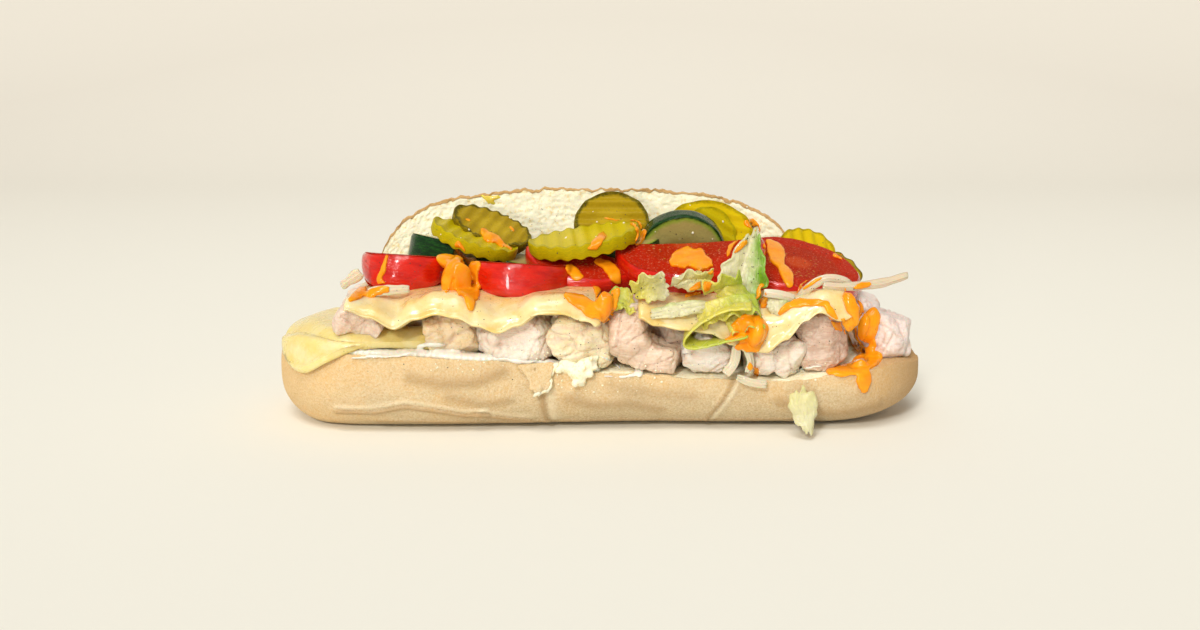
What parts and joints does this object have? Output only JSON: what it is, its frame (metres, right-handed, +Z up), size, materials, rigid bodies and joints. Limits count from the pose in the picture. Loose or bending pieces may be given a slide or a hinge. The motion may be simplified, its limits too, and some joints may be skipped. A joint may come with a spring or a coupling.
{
  "type": "submarine sandwich",
  "caption": "Open submarine sandwich: a slit roll on its base, lid standing behind a filling of chicken, cheese, tomato, cucumber, pickle, lettuce and onion.",
  "frame": {"origin": "in the middle of the flat underside of the roll's lower half, on the floor", "axes": "+X along the roll, to the right of a viewer who faces the filling; -Y out of the open side, towards that viewer; +Z up"},
  "size_m": [0.252, 0.1064, 0.0836],
  "materials": {
    "crust": "matte, dry baked crust and crumb",
    "chicken": "moist cooked meat, satin",
    "cheese": "melted, satin",
    "tomato": "wet and glossy",
    "cucumber": "wet skin, glossy",
    "pickle": "wet and glossy",
    "lettuce": "crisp leaf, satin",
    "onion": "translucent, wet"
  },
  "bodies": {
    "root": {"cheese_left": "cheese", "cheese_low": "cheese", "cheese_right": "cheese", "chicken_1": "chicken", "chicken_10": "chicken", "chicken_11": "chicken", "chicken_2": "chicken", "chicken_3": "chicken", "chicken_4": "chicken", "chicken_5": "chicken", "chicken_6": "chicken", "chicken_7": "chicken", "chicken_8": "chicken", "chicken_9": "chicken", "chicken_heap": "chicken", "cucumber_1": "cucumber", "cucumber_2": "cucumber", "cucumber_3": "cucumber", "cucumber_4": "cucumber", "lettuce_curl": "lettuce", "lettuce_flake": "lettuce", "lettuce_frill": "lettuce", "lettuce_left": "lettuce", "lettuce_pale": "lettuce", "lettuce_rib": "lettuce", "lettuce_small": "lettuce", "lettuce_tall": "lettuce", "lettuce_yellow": "lettuce", "onion_arch": "onion", "onion_drop": "onion", "onion_drop_low": "onion", "onion_drop_right": "onion", "onion_left": "onion", "onion_left_low": "onion", "onion_long": "onion", "onion_short": "onion", "pickle_1": "pickle", "pickle_2": "pickle", "pickle_3": "pickle", "pickle_4": "pickle", "pickle_5": "pickle", "pickle_6": "pickle", "pickle_7": "pickle", "pickle_8": "pickle", "roll": "crust", "tomato_1": "tomato", "tomato_2": "tomato", "tomato_3": "tomato", "tomato_4": "tomato", "tomato_5": "tomato"}
  },
  "joints": []
}
